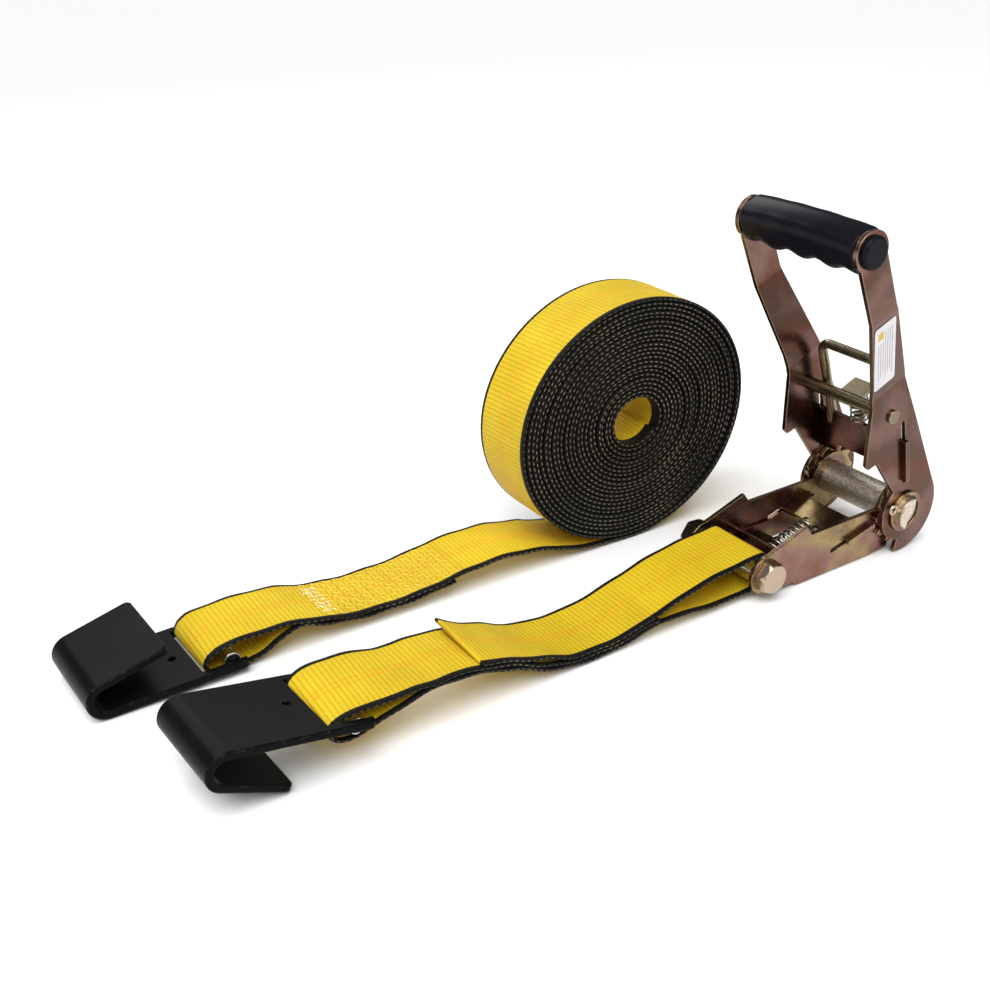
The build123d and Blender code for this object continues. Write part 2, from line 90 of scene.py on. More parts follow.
# %% Shader arithmetic
class Value:
    """A number that changes over the surface. Arithmetic on it adds Math nodes."""

    def __init__(self, finish, socket):
        self.finish, self.socket = finish, socket

    def math(self, operation, *values):
        sockets = dict(enumerate(values))
        return self.finish.node("ShaderNodeMath", {"operation": operation}, sockets)

    def __add__(self, other):
        return self.math("ADD", self, other)

    __radd__ = __add__

    def __sub__(self, other):
        return self.math("SUBTRACT", self, other)

    def __rsub__(self, other):
        return self.math("SUBTRACT", other, self)

    def __mul__(self, other):
        return self.math("MULTIPLY", self, other)

    def __truediv__(self, other):
        return self.math("DIVIDE", self, other)

    def __abs__(self):
        return self.math("ABSOLUTE", self)

    def wave(self):
        """A sine that runs from 0 to 1 instead of from -1 to 1."""
        return self.math("SINE", self) * 0.5 + 0.5

    def part(self):
        """What is left after the whole turns are taken away."""
        return self.math("FRACT", self)

    def band(self, low, high):
        """0 below low, 1 above high, and a smooth step between them."""
        settings = {"interpolation_type": "SMOOTHSTEP"}
        return self.finish.node("ShaderNodeMapRange", settings, {0: self, 1: low, 2: high})


class Finish:
    """A material with one Principled shader. Fixed values go straight onto the shader's sockets."""

    def __init__(self, name, **fixed):
        self.material = bpy.data.materials.new(name)
        self.material.use_nodes = True
        self.tree = self.material.node_tree
        self.shader = self.tree.nodes["Principled BSDF"]
        for socket, value in fixed.items():
            self.shader.inputs[socket.replace("_", " ")].default_value = value

    def node(self, kind, settings={}, sockets={}, out=0):
        node = self.tree.nodes.new(kind)
        for name, value in settings.items():
            if name == "stops":
                self.set_stops(node.color_ramp, value)
            else:
                setattr(node, name, value)
        for key, value in sockets.items():
            if isinstance(value, Value):
                self.tree.links.new(value.socket, node.inputs[key])
            else:
                node.inputs[key].default_value = value
        return Value(self, node.outputs[out])

    def set_stops(self, ramp, stops):
        while len(ramp.elements) < len(stops):
            ramp.elements.new(0.5)
        for element, (place, colour) in zip(ramp.elements, stops):
            element.position, element.color = place, (*colour, 1.0)

    def feed(self, socket, value):
        self.tree.links.new(value.socket, self.shader.inputs[socket])

    def place(self):
        return self.node("ShaderNodeTexCoord", out="Object")

    def noise(self, scale, detail=4.0, at=None, rough=0.55):
        sockets = {"Vector": at or self.place(), "Scale": scale, "Detail": detail, "Roughness": rough}
        return self.node("ShaderNodeTexNoise", {}, sockets)

    def stretched(self, x, y, z):
        """Object coordinates scaled by different amounts, for grain that runs one way."""
        return self.node("ShaderNodeMapping", {}, {"Vector": self.place(), "Scale": (x, y, z)})

    def colour(self, factor, first, second):
        def full(colour):
            return colour if isinstance(colour, Value) else (*colour, 1.0)

        sockets = {0: factor, 6: full(first), 7: full(second)}
        return self.node("ShaderNodeMix", {"data_type": "RGBA"}, sockets, out=2)

    def edges(self, radius, reach=2.6):
        """A mask that is 1 on sharp edges: there a bevelled normal leans away from the true one."""
        soft = self.node("ShaderNodeBevel", {"samples": 4}, {"Radius": radius})
        true = self.node("ShaderNodeNewGeometry", out="Normal")
        dot = self.node("ShaderNodeVectorMath", {"operation": "DOT_PRODUCT"}, {0: soft, 1: true}, out="Value")
        return ((1 - dot) * reach).band(0.02, 0.5)

    def relief(self, height, distance, strength=1.0, soft_edge=0.0):
        sockets = {"Height": height, "Distance": distance, "Strength": strength}
        if soft_edge:
            sockets["Normal"] = self.node("ShaderNodeBevel", {"samples": 4}, {"Radius": soft_edge})
        self.feed("Normal", self.node("ShaderNodeBump", {}, sockets))


print("shader arithmetic ready")

# %% [markdown]
# ## Plated steel
# The ratchet's sheet steel is zinc plated and dipped in yellow chromate, which leaves a thin film. The film is
# never even: it drifts between brown, pink, olive and gold. Large soft noise picks the tint and finer noise
# breaks it up. Rolled sheet keeps a faint grain, and the plating wears to brighter metal along sharp edges. The
# handle's sheet came out of the bath browner than the base, and its bent rods greyer.


# %% Plated steel
def plated(name, tints, grain, shine, wear=(0.60, 0.49, 0.30)):
    finish = Finish(name, Metallic=1.0)
    drift = finish.noise(13.0, 2.5, rough=0.5)
    spots = finish.noise(190.0, 4.0)
    tint = (drift * 2.0 - 0.5) + (spots - 0.5) * 0.20
    places = [index / (len(tints) - 1) for index in range(len(tints))]
    film = finish.node("ShaderNodeValToRGB", {"stops": list(zip(places, tints))}, {"Fac": tint})
    fine = finish.noise(1.0, 5.0, at=finish.stretched(900.0, 2600.0, 900.0))
    film = finish.colour((fine - 0.35) * 0.5, film, (0.16, 0.11, 0.08))
    edge = finish.edges(0.0011)
    finish.feed("Base Color", finish.colour(edge * 0.55, film, wear))
    finish.feed("Roughness", shine + (spots - 0.5) * 0.22 + (fine - 0.5) * 0.16 - edge * 0.05)
    finish.relief(fine * grain + spots, 0.00008, 0.5, soft_edge=0.0007)
    return finish.material


BROWN, PINK, OLIVE = (0.165, 0.100, 0.072), (0.270, 0.150, 0.125), (0.255, 0.220, 0.100)
GOLD, MAUVE, RUST = (0.380, 0.280, 0.120), (0.205, 0.118, 0.100), (0.210, 0.088, 0.055)
DARK_BROWN, DARK_RUST, DARK_PINK = (0.095, 0.055, 0.040), (0.125, 0.048, 0.034), (0.185, 0.100, 0.085)
sheet_steel = plated("yellow_zinc_sheet", [OLIVE, GOLD, BROWN, RUST, PINK, GOLD, BROWN, GOLD], 0.5, 0.24)
handle_tints = [DARK_BROWN, DARK_PINK, DARK_BROWN, DARK_RUST, MAUVE, DARK_BROWN]
handle_steel = plated("yellow_zinc_handle", handle_tints, 0.5, 0.24)
bolt_steel = plated("yellow_zinc_bolt", [(0.36, 0.27, 0.19), (0.52, 0.40, 0.29), (0.58, 0.47, 0.36)], 0.4, 0.25)
rod_steel = plated("yellow_zinc_rod", [(0.20, 0.165, 0.10), (0.26, 0.22, 0.135), (0.21, 0.155, 0.11)], 0.4, 0.28)
bright_zinc = plated("bright_zinc", [(0.62, 0.62, 0.62), (0.80, 0.80, 0.79)], 0.3, 0.22, wear=(0.9, 0.9, 0.9))
spring_wire = plated("spring_wire", [(0.27, 0.24, 0.19), (0.42, 0.39, 0.33)], 0.3, 0.25, wear=(0.7, 0.66, 0.58))
PLATED = (sheet_steel, handle_steel, bolt_steel, rod_steel, bright_zinc, spring_wire)
print("plated finishes:", [finish.name for finish in PLATED])

# %% [markdown]
# ## Rough bar steel and dark oxide
# The spindle is cut from hot-rolled bar, so under its plating the surface is grainy. A strong fine bump on a
# darker, duller metal tells it from the sheet parts at a glance. The far nut is nearly black.


# %% Rough bar steel and dark oxide
def bar_steel():
    finish = Finish("spindle_steel", Metallic=1.0)
    grains = finish.noise(620.0, 6.0, rough=0.7)
    patches = finish.noise(60.0, 3.0)
    colour = finish.colour(grains.band(0.35, 0.68), (0.46, 0.39, 0.31), (0.88, 0.80, 0.68))
    colour = finish.colour(patches.band(0.45, 0.75) * 0.4, colour, (0.56, 0.45, 0.35))
    finish.feed("Base Color", finish.colour(finish.edges(0.001) * 0.5, colour, (0.66, 0.56, 0.40)))
    finish.feed("Roughness", 0.34 + (grains - 0.5) * 0.3)
    finish.relief(grains, 0.00035, 0.8, soft_edge=0.0006)
    return finish.material


def dark_oxide():
    finish = Finish("dark_oxide", Metallic=1.0)
    spots = finish.noise(220.0)
    finish.feed("Base Color", finish.colour(spots, (0.035, 0.028, 0.024), (0.12, 0.09, 0.075)))
    finish.feed("Roughness", 0.36 + (spots - 0.5) * 0.2)
    finish.relief(spots, 0.0001, 0.4, soft_edge=0.0006)
    return finish.material


spindle_steel, nut_steel = bar_steel(), dark_oxide()
print("bar steel and oxide ready")

# %% [markdown]
# ## Black paint and black plastic
# The flat hooks are dipped in black paint, a little orange-peeled, with scuffs where they rub. The grip is moulded
# plastic with a wetter shine and a fine texture. Both are nearly the same black, so only gloss and relief set them
# apart, and their highlights are kept low so that the wide sun doesn't turn them grey.


# %% Black paint and black plastic
def black_paint():
    finish = Finish("black_paint", Specular_IOR_Level=0.035, Coat_Roughness=0.20)
    peel = finish.noise(260.0, 3.0)
    dust = finish.noise(34.0, 5.0, rough=0.65)
    scuff = finish.edges(0.0012) * finish.noise(300.0, 5.0).band(0.50, 0.66)
    colour = finish.colour(dust.band(0.50, 0.80) * 0.35, (0.0045, 0.0045, 0.0050), (0.016, 0.015, 0.015))
    finish.feed("Base Color", finish.colour(scuff * 0.55, colour, (0.16, 0.15, 0.14)))
    finish.feed("Roughness", 0.33 + (dust - 0.5) * 0.30 + scuff * 0.15)
    finish.feed("Coat Weight", 0.02 - scuff * 0.02)
    finish.relief(peel, 0.00012, 0.35, soft_edge=0.0009)
    return finish.material


def moulded_plastic():
    finish = Finish("moulded_plastic", Specular_IOR_Level=0.05, Coat_Roughness=0.14)
    leather = finish.noise(900.0, 2.0)
    haze = finish.noise(45.0, 4.0)
    finish.feed("Base Color", finish.colour(haze, (0.0040, 0.0040, 0.0070), (0.009, 0.009, 0.013)))
    finish.feed("Roughness", 0.27 + (haze - 0.5) * 0.18)
    finish.feed("Coat Weight", 0.05 + (haze - 0.5) * 0.08)
    finish.relief(leather, 0.00005, 0.35, soft_edge=0.0008)
    return finish.material


hook_paint, grip_plastic = black_paint(), moulded_plastic()
print("black finishes ready")

# %% [markdown]
# ## Finishes onto the CAD parts
# The record names a material slot for each part. One table takes each slot to its finish, and a second table names
# the few parts that differ from the rest of their slot.

# %% Finishes onto the CAD parts
SLOT_FINISH = {
    "yellow_zinc_steel": sheet_steel,
    "bright_zinc_steel": bolt_steel,
    "silver_zinc_steel": bright_zinc,
    "spindle_steel": spindle_steel,
    "black_oxide_steel": nut_steel,
    "spring_steel": spring_wire,
    "black_paint": hook_paint,
    "black_grip_plastic": grip_plastic,
}
OWN_FINISH = {
    "finger_bar": rod_steel,
    "handle_crossbar": rod_steel,
    "handle_plate_near": handle_steel,
    "handle_plate_far": handle_steel,
    "handle_pawl": handle_steel,
}
for part in frame["record"]["subparts"]:
    finish = OWN_FINISH.get(part["node"], SLOT_FINISH.get(part["material_slot"]))
    if finish:
        node = frame["nodes"][part["node"]]
        node.data.materials.clear()
        node.data.materials.append(finish)

# %% [markdown]
# ## Webbing, the material
# Tie-down webbing is woven polyester: yellow, with cross ribs where the binder yarn pulls in, a thin black
# selvedge at each edge and two orange marker yarns down the middle. Its edge shows the pale binder yarn as short
# dashes on black. All of this follows the strap, not the room, so each strip stores its own coordinates: how far
# along, how far across, and which side. Two more numbers say where it is sewn and where it is wound up: on the
# wound turns the black edge is painted wider, as painted shade between the roll's turns, and its dashes paler.
# The sizes below are all in millimetres of webbing.

# %% Webbing, the material
HALF_WIDE = 25.0
RIB, PICK, TWILL = 3.1, 0.82, 1.15
MARKER_OFF, MARKER_DASH = 1.9, 6.4
# The middle number widens the black edge on the roll's wound turns: painted shade between the turns.
BORDER, WOUND_SHADE_BORDER, EDGE_DASH = 3.0, 5.0, 4.6


def woven(name):
    finish = Finish(name, Specular_IOR_Level=0.12, Sheen_Weight=0.02, Sheen_Roughness=0.4)
    strap = finish.node("ShaderNodeAttribute", {"attribute_name": "strap"}, out="Vector")
    split = finish.node("ShaderNodeSeparateXYZ", {}, {0: strap})
    along, across, through = (Value(finish, output) for output in split.socket.node.outputs)
    sewn = finish.node("ShaderNodeAttribute", {"attribute_name": "sewn"}, out="Fac")
    inner = finish.node("ShaderNodeAttribute", {"attribute_name": "inner"}, out="Fac")
    blotch = finish.noise(24.0, 3.0)
    fibre_at = finish.node("ShaderNodeVectorMath", {"operation": "MULTIPLY"}, {0: strap, 1: (0.9, 5.0, 1.0)})
    fibre = finish.noise(1.0, 3.0, at=fibre_at)

    skewed = along + across * 0.05 + (blotch - 0.5) * 0.8
    rib = (skewed * (2 * pi / RIB)).wave()
    twill = ((across * (2 * pi / TWILL)) + rib * 3.0).wave()
    picks = (skewed * (2 * pi / PICK)).wave()

    yellow = finish.colour(blotch.band(0.3, 0.7), (0.60, 0.405, 0.008), (0.70, 0.490, 0.012))
    # Darker yellow in the rib grooves, where the bump sinks: painted shade.
    yellow = finish.colour(rib.band(0.70, 1.0) * 0.55, yellow, (0.50, 0.315, 0.004))
    # Lighter yellow where picks and twill peak, on the raised yarn: painted highlight.
    yellow = finish.colour(picks * twill * 0.16, yellow, (0.92, 0.74, 0.10))
    yellow = finish.colour(fibre.band(0.45, 0.8) * 0.22, yellow, (0.95, 0.73, 0.07))

    dash = (along / MARKER_DASH + fibre * 0.12).part().band(0.44, 0.50)
    line_gap = abs(abs(across + (blotch - 0.5) * 0.6) - MARKER_OFF)
    orange = (1 - line_gap.band(0.25, 0.55)) * (0.30 + dash * 0.5)
    face = finish.colour(orange, yellow, (0.86, 0.235, 0.012))

    from_edge = HALF_WIDE - abs(across) + (fibre - 0.5) * 0.5
    # On wound turns the black reaches further in than the real selvedge: painted shade between the roll's turns.
    border_and_shade = BORDER + inner * WOUND_SHADE_BORDER
    black = 1 - (from_edge - border_and_shade).band(0.0, 0.4)
    face = finish.colour(black, face, (0.0045, 0.0040, 0.0038))
    rim = 1 - from_edge.band(0.30, 0.75)
    middle = 1 - abs(through + (blotch - 0.5) * 0.9).band(0.10, 0.40)
    stitch = (along / EDGE_DASH + fibre * 0.3).part().band(0.50, 0.60)
    pale = rim * middle * stitch * (0.10 + inner * 0.16 + blotch.band(0.35, 0.70) * 0.30)
    finish.feed("Base Color", finish.colour(pale, face, (0.50, 0.44, 0.24)))
    finish.feed("Roughness", 0.50 + (fibre - 0.5) * 0.25 - black * 0.06)
    height = rib.band(0.55, 1.0) * -0.95 + picks * 0.14 + twill * 0.22 + fibre * 0.35 + stitch * rim * 0.6
    finish.relief(height * (1 + sewn * 0.5), 0.00042, 0.9)
    return finish.material


webbing_finish = woven("woven_polyester")
print("ribs every", RIB, "mm on webbing", 2 * HALF_WIDE, "mm wide")

# %% [markdown]
# ## Webbing, the shape
# A strap could be a plane with thickness, but its turned edge is what the eye meets on the roll. So each strip is a
# closed tube of cross-sections: flat in the middle and round at both edges. Its middle line is drawn side-on from a
# few points, smoothed, and cut into even steps. A ripple function may lift it locally, as sewing does.

# %% Webbing, the shape
THICK = 2.4
LAYER = 2.62             # from one sewn layer to the next, a little more than the webbing is thick
FULLER = 0.22            # how much thicker it stands in the roll, so that the turns close up
WINDS_OVER = 40.0


def length_of(line):
    return np.linalg.norm(np.diff(line, axis=0), axis=1).sum()


def even(line, step):
    """The same line with its points an even step apart."""
    runs = np.linalg.norm(np.diff(line, axis=0), axis=1)
    far = np.concatenate([[0.0], np.cumsum(runs)])
    at = np.linspace(0.0, far[-1], max(3, round(far[-1] / step) + 1))
    return np.stack([np.interp(at, far, line[:, axis]) for axis in range(line.shape[1])], axis=1)


def smooth(points, step=3.0):
    """An even line on the smooth curve that passes through a few points."""
    knots = np.array(points, float)
    knots = np.vstack([2 * knots[0] - knots[1], knots, 2 * knots[-1] - knots[-2]])
    fine = []
    for before, start, end, after in zip(knots, knots[1:], knots[2:], knots[3:]):
        for t in np.linspace(0.0, 1.0, 20, endpoint=False):
            cubic = (3 * start - before - 3 * end + after) * t**3
            square = (2 * before - 5 * start + 4 * end - after) * t**2
            fine.append((2 * start + (end - before) * t + square + cubic) / 2)
    fine.append(knots[-2])
    return even(np.array(fine), step)


def directions(line):
    """Unit vectors along a line and square to it, to the left of its travel."""
    ahead = np.gradient(line, axis=0)
    ahead /= np.linalg.norm(ahead, axis=1)[:, None]
    return ahead, np.stack([-ahead[:, 1], ahead[:, 0]], axis=1)


def raised(line, lift, low, high, step=12.0):
    """Points of a line between two places along X, moved square to it: the next layer of a sewn stack."""
    line = even(line, step)
    side = directions(line)[1]
    side *= np.where(side[:, 1:] < 0, -1.0, 1.0)
    keep = (line[:, 0] > low) & (line[:, 0] < high)
    return [tuple(point) for point in (line + side * lift)[keep]]


def rim_outline():
    """The webbing's cross-section: across and through, closed, with round edges."""
    radius = THICK / 2
    flat = HALF_WIDE - radius
    inner = [flat - 2.0, 17.0, 9.0, 0.0, -9.0, -17.0, 2.0 - flat]
    right = [(flat + radius * cos(a), radius * sin(a)) for a in np.linspace(-pi / 2, pi / 2, 7)]
    top = [(across, radius) for across in inner]
    left = [(-across, -through) for across, through in right]
    bottom = [(-across, -radius) for across in inner]
    return np.array(right + top + left + bottom)


def loft(name, rings):
    """Joins rings of equal size into a closed mesh."""
    count, around = len(rings), len(rings[0])
    points = [tuple(point) for ring in rings for point in ring]
    faces = []
    for ring in range(count - 1):
        for corner in range(around):
            after = (corner + 1) % around
            faces.append((ring * around + corner, ring * around + after,
                          (ring + 1) * around + after, (ring + 1) * around + corner))
    faces.append(tuple(reversed(range(around))))
    faces.append(tuple(range((count - 1) * around, count * around)))
    data = bpy.data.meshes.new(name)
    data.from_pydata(points, [], faces)
    data.shade_smooth()
    piece = bpy.data.objects.new(name, data)
    bpy.context.collection.objects.link(piece)
    return piece


class Strip:
    """One strap as a closed strip. Its line is in millimetres, in X and Z of its own upright plane."""

    def __init__(self, name, line, origin, sideways, ripple=None, sway=None):
        self.line, self.origin = np.array(line), np.array(origin)
        self.sideways = np.array(sideways)
        self.forward = np.array([self.sideways[1], -self.sideways[0], 0.0])
        self.ahead, self.normal = directions(self.line)
        runs = np.linalg.norm(np.diff(self.line, axis=0), axis=1)
        self.along = np.concatenate([[0.0], np.cumsum(runs)])
        self.ripple = ripple or (lambda along, across, x: 0.0)
        self.sway = sway or (lambda along: 0.0)
        self.name = name

    @property
    def length(self):
        return self.along[-1]

    def at(self, index, across, through):
        """A point of the strap in the room, in metres."""
        x, z = self.line[index]
        normal = self.normal[index]
        lift = self.ripple(self.along[index], across, x)
        x, z = x + normal[0] * through, z + normal[1] * through + lift
        y = across + self.sway(self.along[index])
        return self.origin + (self.forward * x + self.sideways * y + np.array([0.0, 0.0, z])) * MM

    def mesh(self, sewn=lambda along: 0.0, inner_to=0.0):
        """The strip as an object. Up to inner_to it is wound inside a roll, pressed flat against its neighbours."""
        outline = rim_outline()
        rings, strap, seams, inner = [], [], [], []
        for index, along in enumerate(self.along):
            wound = min(1.0, max(0.0, (inner_to - along) / WINDS_OVER))
            rings.append([self.at(index, across, through * (1 + wound * FULLER)) for across, through in outline])
            strap += [(along, across, through / (THICK / 2)) for across, through in outline]
            seams += [sewn(along)] * len(outline)
            # How far each ring is wound in; the finish paints a wider black edge there as shade between the turns.
            inner += [wound] * len(outline)
        piece = loft(self.name, rings)
        attributes = piece.data.attributes
        attributes.new("strap", "FLOAT_VECTOR", "POINT").data.foreach_set("vector", np.ravel(strap))
        for name, values in (("sewn", seams), ("inner", inner)):
            attributes.new(name, "FLOAT", "POINT").data.foreach_set("value", np.array(values, float))
        piece.data.materials.append(webbing_finish)
        return piece


print("section of", len(rim_outline()), "points,", THICK, "mm thick")

# %% [markdown]
# ## The short strap
# One strip makes the whole short strap: it starts inside the sewn stack, goes out to the hook, round its bar, back
# under the stack to the ratchet's bolt, round that, and returns on top to end in a loose flap. The lowest layer is
# listed point by point and the two above are offsets of it, so the layers can never cut each other.

# %% The short strap
BOLT_TURN, BAR_TURN = 10.75, 6.45     # radius of the middle line round the bolt and round a hook's bar
BAR_FRONT = 9.0                       # the turn stands this far in front of the bar
PUCKER, TWIST = 0.35, 2.6
FLAP, FLAP_CORNER, BUBBLE = 1.2, 2.4, 2.3


def side_on(point):
    """A place in the strap's own plane, in millimetres from the spindle and from the floor."""
    return (point.x - pivot.x) / MM, point.z / MM


def bend(centre, radius, start, end, count=9):
    """Points on an arc, with its angles in degrees."""
    return [(centre[0] + radius * cos(radians(a)), centre[1] + radius * sin(radians(a)))
            for a in np.linspace(start, end, count)]


bolt_x, bolt_z = side_on(bolt)
bar_x, bar_z = side_on(short_bar)
under = [(bar_x, bar_z - BAR_TURN), (-400, 18.5), (-372, 25.0), (-345, 24.0), (-318, 17.5), (-292, 7.2),
         (-270, 2.6), (-240, 2.3), (-216, 6.6), (-196, 8.0), (-165, 5.2), (-142, 4.6),
         (bolt_x, bolt_z - BOLT_TURN)]
lowest = smooth(under)
front = bar_x - BAR_FRONT
second = raised(lowest, LAYER, -380, -205)
third = raised(lowest, 2 * LAYER, -322, -206)
crown = [(bar_x - 13, bar_z + 7.6), (bar_x - 4, bar_z + 10.6), (bar_x + 10, bar_z + 10.4), (bar_x + 25, 30.0)]
turn = [(front, bar_z - BAR_TURN), (front - 5.6, bar_z - 3.4), (front - 7.4, bar_z + 2.6)]
back_of_hook = list(reversed(second)) + list(reversed(crown)) + list(reversed(turn))
round_bolt = bend((bolt_x, bolt_z), BOLT_TURN, -90, 90)[1:]
over = [(-144, 26.4), (-170, 23.4), (-194, 17.8)] + list(reversed(third)) + [(-338, 29.4)]
short_line = smooth(back_of_hook + under[:-1] + [(bolt_x, bolt_z - BOLT_TURN)] + round_bolt + over)


def short_ripple(along, across, x):
    """Sewing puckers the edges, and the flap's far corner lifts."""
    edge = abs(across / HALF_WIDE) ** 3
    pucker = PUCKER * edge * sin(along / 5.2 + across * 0.05)
    if along < hook_turn:
        pucker += TWIST * across / HALF_WIDE * max(0.0, 1 - ((x - bar_x - 4) / 34) ** 2)
    flap = max(0.0, (along - short_total + 26) / 26) ** 2 * (FLAP + FLAP_CORNER * across / HALF_WIDE)
    bubble = 0.0
    if along > short_total - 90 and across < 0:
        bulge = max(0.0, 1 - ((along - short_total + 50) / 22) ** 2)
        bubble = BUBBLE * bulge ** 2 * (across / HALF_WIDE) ** 2
    return pucker + flap + bubble


short_total = length_of(short_line)
hook_turn = length_of(short_line[:short_line[:, 0].argmin()])
short = Strip("short_strap_webbing", short_line, (pivot.x, pivot.y, 0.0), (0.0, 1.0, 0.0), short_ripple)
SEWN_FROM, SEWN_TO = -334.0, -208.0


def short_sewn(along):
    x = np.interp(along, short.along, short.line[:, 0])
    return 1.0 if SEWN_FROM < x < SEWN_TO else 0.0


short_piece = short.mesh(short_sewn)
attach(short_piece, "short_strap")
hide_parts("short_webbing")
print("short strap is cut to", round(short.length), "mm")

# %% [markdown]
# ## The long strap
# The long strap is one strip as well: a spiral from the hub outwards, then the tail along the floor, round the
# hook's bar, and sewn back under itself. The roll sags a little, so its outer turn is an oval and its inner one
# nearly round. The number of turns is what puts all the webbing of a 27-foot strap into the roll.

# %% The long strap
roll_low, roll_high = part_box("long_webbing_roll")
sideways = Vector(joints["long_hook_swing"]["axis"])
roll_middle = (roll_low + roll_high) / 2
foot = Vector((roll_middle.x, roll_middle.y, 0.0))
TURNS = 23 + 1 / 6
STEPS_A_TURN, SPIRAL_STEP = 90, 4.0
HUB = (18.2, 16.4)                    # half the hub's length and height
CLEAR = 0.2                           # the roll's foot above the floor
HALF_WEBBING = 1.35                   # half the thickness of the plain solid's webbing
roll_top = roll_high.z / MM
roll_long = (roll_high.x - roll_low.x) / MM - 2 * HALF_WIDE * sideways.x
outer = (roll_long / 2 - HALF_WEBBING, (roll_top - CLEAR) / 2 - HALF_WEBBING)
centre_z = (roll_top + CLEAR) / 2


def spiral():
    steps = round(TURNS * STEPS_A_TURN)
    points = []
    for step in range(steps + 1):
        share = step / steps
        angle = radians(-90) + TURNS * 2 * pi * (1 - share)
        wide, tall = (hub + (out - hub) * share for hub, out in zip(HUB, outer))
        points.append((wide * cos(angle), centre_z + tall * sin(angle)))
    return even(np.array(points), SPIRAL_STEP)


tail_from_foot = [(-41, 4.6), (-71, 12.0), (-101, 16.4), (-131, 15.6), (-163, 11.2), (-195, 9.6),
                  (-225, 11.5), (-255, 18.0), (-281, 19.4)]
hook_x = -hypot(long_bar.x - foot.x, long_bar.y - foot.y) / MM
hook_z = long_bar.z / MM
ahead = hook_x - BAR_FRONT
crest = [(ahead + 4, hook_z + BAR_TURN + 3.4), (ahead - 4.6, hook_z + 5.6)]
round_bar = [(ahead - 7.2, hook_z + 0.6), (ahead - 5.2, hook_z - 4.4), (ahead, hook_z - BAR_TURN)]
wound = spiral()
tail = smooth([tuple(wound[-1])] + tail_from_foot + crest)
under_tail = sorted(raised(tail, -LAYER, -262, -140))
returned = [(hook_x, hook_z - BAR_TURN), (hook_x + 19, 4.2), (hook_x + 31, 11.0)] + under_tail
last_run = smooth([tuple(tail[-1])] + round_bar + returned)
long_line = np.vstack([wound, tail[1:], last_run[1:]])
roll_length = length_of(wound)


def long_sway(along):
    """No roll is wound dead straight: each turn sits a little to one side of the last."""
    inside = min(1.0, max(0.0, (roll_length - along) / 260.0))
    drift = 0.50 * sin(along / 61.0) + 0.38 * sin(along / 173.0 + 1.0) + 0.22 * sin(along / 23.0)
    return inside * drift


def long_ripple(along, across, x):
    """The tail's edges pucker a little, from a hand's width past the roll."""
    past = along - roll_length
    if past < 60:
        return 0.0
    return 0.45 * abs(across / HALF_WIDE) ** 3 * sin(past / 5.0 + across * 0.06)


long = Strip("long_strap_webbing", long_line, foot, sideways, long_ripple, long_sway)


LONG_SEWN_FROM, LONG_SEWN_TO = -240.0, -134.0


def long_sewn(along):
    x = np.interp(along, long.along, long.line[:, 0])
    return 1.0 if along > roll_length and LONG_SEWN_FROM < x < LONG_SEWN_TO else 0.0


LAST_TURN = 560.0                     # the outermost turn isn't pressed against another
long_piece = long.mesh(long_sewn, inner_to=roll_length - LAST_TURN)
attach(long_piece, "long_strap")
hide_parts("long_webbing_tail", "long_webbing_roll")
print("long strap is cut to", round(long.length), "mm, of which", round(roll_length), "mm are in the roll")

# %% [markdown]
# ## Sewing thread
# The stacks are held by rows of zigzag stitches. A bump could draw them, but thread stands proud and catches light,
# so each stitch is a small tapered bar that lies on the webbing and dips into it at both ends. One mesh holds all
# the stitches of a seam. The long strap's seam starts with a short tack in paler thread.

# %% Sewing thread
THREAD = 0.46            # half the thread's width
SIDES = 5
STITCH = (               # for each ring: how far along, its width and its rise, in shares of the thread
    (0.0, 0.35, -0.6),
    (0.22, 0.95, 0.15),
    (0.5, 1.0, 0.35),
    (0.78, 0.95, 0.15),
    (1.0, 0.35, -0.6),
)


def thread_finish(name, dark, light):
    finish = Finish(name, Roughness=0.42, Specular_IOR_Level=0.3)
    twist = finish.noise(1500.0, 2.0)
    finish.feed("Base Color", finish.colour(twist, dark, light))
    finish.relief(twist, 0.00008, 0.5)
    return finish.material


thread = thread_finish("sewing_thread", (0.62, 0.43, 0.02), (0.84, 0.66, 0.12))
pale_thread = thread_finish("pale_sewing_thread", (0.62, 0.56, 0.34), (0.90, 0.86, 0.66))


def stitch_points(start, end, up):
    """A bar of five-sided rings from start to end that dips at both ends."""
    ahead = (end - start) / np.linalg.norm(end - start)
    side = np.cross(up, ahead)
    rings = []
    for share, wide, rise in STITCH:
        middle = start + (end - start) * share + up * rise * THREAD * MM
        for corner in range(SIDES):
            angle = 2 * pi * corner / SIDES + 0.3
            ring = side * cos(angle) + up * sin(angle)
            rings.append(middle + ring * wide * THREAD * MM)
    return rings


